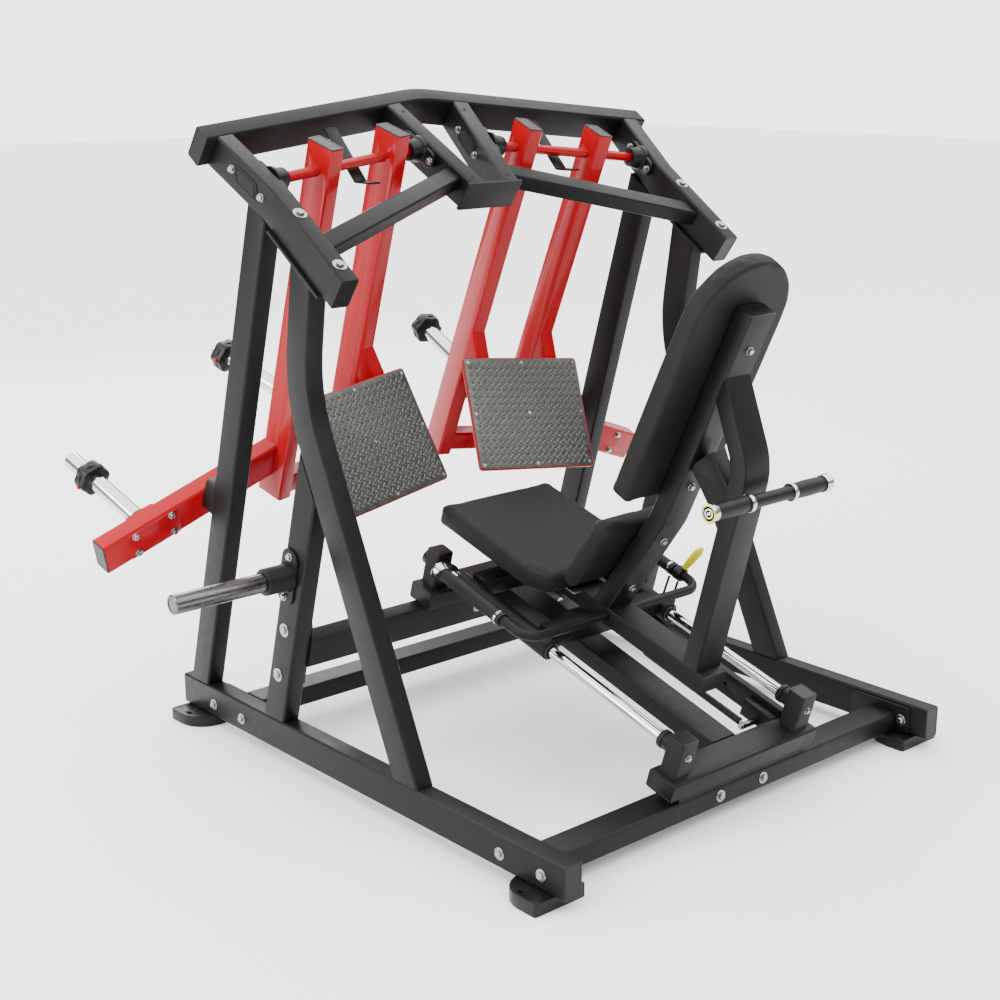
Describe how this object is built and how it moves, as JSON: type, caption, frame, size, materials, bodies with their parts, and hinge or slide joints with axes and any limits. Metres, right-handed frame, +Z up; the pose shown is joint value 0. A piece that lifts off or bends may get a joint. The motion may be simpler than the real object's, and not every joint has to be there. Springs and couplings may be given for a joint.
{
  "type": "leg press machine",
  "caption": "Plate-loaded leg press with two independently swinging press arms and foot plates, a reclined seat sliding on rods, storage horns and a tubular frame.",
  "frame": {"origin": "on the floor, under the middle of the bounding box", "axes": "+X to the right of the seated user, +Y from the seat towards the foot plates, +Z up"},
  "size_m": [2.282, 1.9986, 1.8916],
  "materials": {
    "black_paint": "satin, finely textured powder coat",
    "red_paint": "gloss",
    "chrome": "polished",
    "satin_steel": "satin",
    "tread_sheet": "embossed grey tread sheet on a red plate",
    "leatherette": "fine-grained matt",
    "black_rubber": "matt",
    "black_plastic": "satin",
    "yellow_plastic": "gloss"
  },
  "bodies": {
    "machine_frame": {"base_rail_left": "black_paint", "base_rail_right": "black_paint", "rear_upright_left": "black_paint", "rear_upright_right": "black_paint", "side_brace_left": "black_paint", "side_brace_right": "black_paint", "front_leg_left": "black_paint", "front_leg_right": "black_paint", "seat_end_crossbar": "black_paint", "low_crossbar": "black_paint", "raised_crossbar": "black_paint", "top_bar": "black_paint", "side_beam_left": "black_paint", "side_beam_right": "black_paint", "centre_frame": "black_paint", "front_bar_left": "black_paint", "front_bar_right": "black_paint", "storage_horn_left": "satin_steel", "storage_horn_right": "satin_steel", "seat_end_foot_left": "black_rubber", "seat_end_foot_right": "black_rubber", "far_end_foot_left": "black_rubber", "far_end_foot_right": "black_rubber", "outer_bearing_left": "black_plastic", "outer_bearing_right": "black_plastic", "inner_bearing_left": "black_plastic", "inner_bearing_right": "black_plastic", "bumper_left": "black_rubber", "bumper_right": "black_rubber", "track_rear_beam": "black_paint", "track_front_beam": "black_paint", "track_centre_rail": "black_paint", "lock_rack": "black_paint", "guide_rod_left": "chrome", "guide_rod_right": "chrome", "gas_cylinder": "black_plastic"},
    "left_press_arm": {"press_arm_left": "red_paint", "foot_plate_left": "tread_sheet", "lower_sleeve_left": "chrome", "upper_sleeve_left": "chrome"},
    "right_press_arm": {"press_arm_right": "red_paint", "foot_plate_right": "tread_sheet", "lower_sleeve_right": "chrome", "upper_sleeve_right": "chrome"},
    "seat_carriage": {"carriage_frame": "black_paint", "seat_back_frame": "black_paint", "seat_cushion": "leatherette", "lumbar_pad": "leatherette", "backrest_pad": "leatherette", "handlebar": "black_rubber", "side_handle_left": "black_rubber", "side_handle_right": "black_rubber", "gas_rod": "chrome"},
    "seat_release": {"release_lever": "yellow_plastic"},
    "seat_lock": {"lock_pin": "satin_steel"},
    "left_lower_collar": {"lower_collar_left": "black_plastic"},
    "right_lower_collar": {"lower_collar_right": "black_plastic"},
    "left_upper_collar": {"upper_collar_left": "black_plastic"},
    "right_upper_collar": {"upper_collar_right": "black_plastic"}
  },
  "joints": [
    {"name": "right_press_swing", "type": "hinge", "parent": "machine_frame", "child": "right_press_arm", "pos_m": [0.426, 0.25842, 1.69632], "axis": [0.9848, -0.1424, -0.0993], "range_deg": [0, 35]},
    {"name": "left_press_swing", "type": "hinge", "parent": "machine_frame", "child": "left_press_arm", "pos_m": [-0.426, 0.25842, 1.69632], "axis": [0.9848, 0.1424, 0.0993], "range_deg": [0, 35]},
    {"name": "seat_slide", "type": "slide", "parent": "machine_frame", "child": "seat_carriage", "axis": [0, 0.9613, 0.2756], "range_m": [-0.33, 0.03]},
    {"name": "release_lever_turn", "type": "hinge", "parent": "seat_carriage", "child": "seat_release", "pos_m": [0.351, -0.33541, 0.4693], "axis": [0, -0.9613, -0.2756], "range_deg": [0, 25], "stiffness_Nm_per_rad": 2, "springref_deg": -11.46},
    {"name": "lock_pin_pull", "type": "slide", "parent": "seat_carriage", "child": "seat_lock", "axis": [1, 0, 0], "range_m": [0, 0.03]},
    {"name": "right_lower_collar_slide", "type": "slide", "parent": "right_press_arm", "child": "right_lower_collar", "axis": [0.0974, 0.9282, 0.359], "range_m": [-0.22, 0.085]},
    {"name": "right_upper_collar_slide", "type": "slide", "parent": "right_press_arm", "child": "right_upper_collar", "axis": [0.1677, 0.9283, 0.332], "range_m": [-0.355, 0.02]},
    {"name": "left_lower_collar_slide", "type": "slide", "parent": "left_press_arm", "child": "left_lower_collar", "axis": [-0.0974, 0.9282, 0.359], "range_m": [-0.22, 0.085]},
    {"name": "left_upper_collar_slide", "type": "slide", "parent": "left_press_arm", "child": "left_upper_collar", "axis": [-0.1677, 0.9283, 0.332], "range_m": [-0.355, 0.02]}
  ],
  "couplings": [
    {"joint": "lock_pin_pull", "follows": "release_lever_turn", "m_per_rad": 0.0687}
  ]
}
